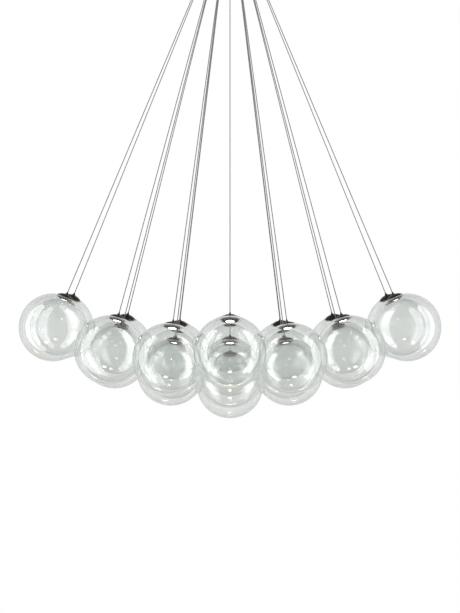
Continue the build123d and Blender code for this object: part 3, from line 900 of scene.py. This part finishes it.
def cap_profile():
    """From the spindle's tip down the outside, under the nose and up the bores."""
    flare = (SPINDLE_TIP + FLARE_REACH, DOME_TOP + (CAP_TOP - DOME_TOP) * FLARE_SHARE)
    bulge = ((CAP_RADIUS + SPINDLE_BASE) * BULGE_OUT,
             CAP_BASE + CAP_RIM + DOME_HEIGHT * BULGE_UP)
    spindle = through((SPINDLE_TIP, CAP_TOP), flare, (SPINDLE_BASE, DOME_TOP), 12)
    dome = through((SPINDLE_BASE, DOME_TOP), bulge, (CAP_RADIUS, CAP_BASE + CAP_RIM), 14)
    tip = rounded([(CABLE_BORE, CAP_TOP), (SPINDLE_TIP, CAP_TOP), spindle[0]], EDGE_ROUNDING, 3)
    waist = rounded([spindle[-2], spindle[-1], dome[0]], WAIST_ROUNDING, 4)
    flange = rounded([dome[-2], dome[-1], (CAP_RADIUS, CAP_BASE), (NOSE, CAP_BASE)],
                     EDGE_ROUNDING, 3)
    nose = [(NOSE, GROOVE_TOP), (GROOVE, GROOVE_TOP), (GROOVE, GROOVE_LOW),
            (NOSE, GROOVE_LOW), (NOSE, NOSE_END + NOSE_CONE)]
    end = rounded([nose[-1], (NOSE_TIP, NOSE_END), (POCKET, NOSE_END), (POCKET, POCKET_ROOF)],
                  SMALL_ROUNDING, 2)
    bores = [(LEAD_BORE, POCKET_ROOF), (LEAD_BORE, SOCKET_FLOOR), (CABLE_BORE, SOCKET_FLOOR),
             (CABLE_BORE, CAP_TOP)]
    line = tip[:-1] + spindle[:-2] + waist + dome[1:-2] + flange + nose + end[1:] + bores
    return line[::-1]


cap_line = cap_profile()
print(len(cap_line), "points round the cap's section")

# %% [markdown]
# ## Gasket, lamp board and window
# A cap holds its globe between a gasket and a clip ring, and its pocket holds the lamp board
# and the opal window. Gasket, board and window are turned too, from short profiles.

# %% Profiles of gasket, board and window
GASKET_RADIUS = 0.0185
WINDOW_RECESS, WINDOW_THICKNESS = 0.0008, 0.0012
BOARD_LOW, CHIP_LOW = POCKET_ROOF - 0.0016, POCKET_ROOF - 0.0026
CHIP_RADIUS = 0.004
FLAT_START = 0.001  # radius of a point that keeps the flat faces flat next to the axis


def ring_profile(inside, outside, low, high, corner):
    """Closed section of a ring, starting on its inner face."""
    middle = (low + high) / 2
    return rounded([(inside, middle), (inside, high), (outside, high), (outside, low),
                    (inside, low), (inside, middle)], corner, 3)[::-1]


def disc_profile(radius, low, high, corner):
    """Section of a disc, from the axis below to the axis at the top."""
    return rounded([(0, low), (radius, low), (radius, high), (0, high)], corner, 3)


gasket_line = ring_profile(MOUTH, GASKET_RADIUS, SEAT, CAP_BASE, EDGE_ROUNDING)
window_low = NOSE_END + WINDOW_RECESS
window_line = disc_profile(WINDOW_RADIUS, window_low, window_low + WINDOW_THICKNESS,
                           EDGE_ROUNDING)
board_line = ([(0, CHIP_LOW)]
              + rounded([(FLAT_START, CHIP_LOW), (CHIP_RADIUS, CHIP_LOW),
                         (CHIP_RADIUS, BOARD_LOW), (WINDOW_RADIUS, BOARD_LOW),
                         (WINDOW_RADIUS, POCKET_ROOF), (FLAT_START, POCKET_ROOF)],
                        SMALL_ROUNDING, 2)
              + [(0, POCKET_ROOF)])
print("points in three small profiles:", len(gasket_line), len(board_line), len(window_line))

# %% [markdown]
# ## The clip ring
# The ring that carries the globe is split, so that it can be sprung into its groove. The
# turning tree closes every ring, so this one is swept round with mesh code instead, and each
# end gets a flat face.

# %% Split clip ring
CLIP_INSIDE, CLIP_OUTSIDE = 0.0149, 0.0177
CLIP_LOW, CLIP_TOP = 0.0676, 0.0685
CLIP_GAP = 0.011
CLIP_STEPS = 72


def split_ring(name, frames, material):
    """Open ring of flat spring wire with rounded edges, swept from one end to the other."""
    section = ring_profile(CLIP_INSIDE, CLIP_OUTSIDE, CLIP_LOW, CLIP_TOP, SMALL_ROUNDING)[:-1]
    half_gap = math.asin(CLIP_GAP / 2 / CLIP_INSIDE)
    shape = bmesh.new()
    own = shape.verts.layers.float_vector.new("own_place")
    for pendant in frames:
        rows = []
        for step in range(CLIP_STEPS + 1):
            turn = half_gap + (2 * math.pi - 2 * half_gap) * step / CLIP_STEPS
            row = []
            for r, z in section:
                spot = Vector((r * math.cos(turn), r * math.sin(turn), z))
                vert = shape.verts.new(pendant @ spot)
                vert[own] = spot
                row.append(vert)
            rows.append(row)
        for one, two in zip(rows, rows[1:]):
            for k in range(len(section)):
                n = (k + 1) % len(section)
                shape.faces.new((one[k], two[k], two[n], one[n]))
        shape.faces.new(rows[0])
        shape.faces.new(rows[-1][::-1])
    bmesh.ops.recalc_face_normals(shape, faces=shape.faces)
    for face in shape.faces:
        face.smooth = len(face.verts) == 4
    mesh = bpy.data.meshes.new(name)
    shape.to_mesh(mesh)
    shape.free()
    mesh.materials.append(material)
    return link_object(name, mesh)


print(f"clip ring with a gap of {CLIP_GAP * 1000:.0f} mm")

# %% [markdown]
# ## A head for every pendant
# An outer pendant swings, so its cap and lamp are five pieces of their own on its body. The
# inner pendants hang still, so all their caps are one mesh, and so are their other pieces.

# %% Set the small pieces on every pendant
def head_pieces(ending, frames, body, nodes):
    """Cap, gasket, clip ring, lamp board and window on the given frames, on one body."""
    made = {
        "bronze_cap": turned_piece("bronze_cap" + ending, cap_line, frames, bronze, steps=80),
        "silicone": turned_piece("seat_gasket" + ending, gasket_line, frames, silicone, steps=64),
        "spring_steel": split_ring("split_ring" + ending, frames, spring_steel),
        "lamp_board": turned_piece("light_board" + ending, board_line, frames, white_board,
                                   steps=48),
        "opal_diffuser": turned_piece("opal_window" + ending, window_line, frames, opal,
                                      steps=64)}
    for (slot, piece), node in zip(made.items(), nodes):
        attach(piece, body)
        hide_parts(node)
    return made


for number, place in enumerate(outer_places, start=1):
    outer = head_pieces(f"_{number:02d}", [pendant_frame(place)], f"pendant_{number:02d}",
                        [f"head_{number:02d}"] * 5)
head_pieces("_inner", [pendant_frame(p) for p in inner_places], "root",
            ["inner_caps", "inner_gaskets", "inner_clip_rings", "inner_lamp_boards",
             "inner_diffusers"])
print("cap:", len(outer["bronze_cap"].data.vertices), "points")

# %% [markdown]
# ## Canopy and electrics
# The canopy is spun steel with a white powder coat. Inside it are a ceiling plate, a driver
# and small terminals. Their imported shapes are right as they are, so they aren't modelled
# again: each one only gets its finish in its material slots.

# %% Finishes for the canopy and the electrics
node_finishes = {
    "canopy_housing": finish("white_powder_coat", (0.82, 0.82, 0.80), 0.42, size=0.0012,
                             colour_change=0.03, bump=0.15, bump_depth=0.00006),
    "ceiling_plate": finish("zinc_sheet", (0.60, 0.60, 0.60), 0.5, metallic=0.6, size=0.006,
                            colour_change=0.25, roughness_change=0.25),
    "canopy_screws": finish("bronze_screw", (0.050, 0.040, 0.034), 0.34, metallic=0.7),
    "cable_grips": finish("black_nylon", (0.05, 0.05, 0.05), 0.5, size=0.0008, bump=0.2,
                          bump_depth=0.00005),
    "grip_nuts": finish("zinc_nut", (0.65, 0.65, 0.66), 0.3, metallic=1.0),
    "led_driver": finish("white_driver_case", (0.85, 0.85, 0.85), 0.5, size=0.001, bump=0.25,
                         bump_depth=0.00008),
    "output_board": finish("green_board", (0.05, 0.25, 0.10), 0.35),
    "mains_terminal_block": finish("natural_polyamide", (0.90, 0.90, 0.87), 0.45),
    "cord_clamp": finish("clamp_polyamide", (0.90, 0.90, 0.87), 0.5),
    "plate_screws": finish("zinc_screw", (0.65, 0.65, 0.66), 0.3, metallic=1.0),
    "earth_screw": finish("plain_brass", (0.75, 0.60, 0.30), 0.3, metallic=1.0),
}
for node, material in node_finishes.items():
    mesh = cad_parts[node].data
    mesh.materials.clear()
    mesh.materials.append(material)
print(len(node_finishes), "nodes painted")
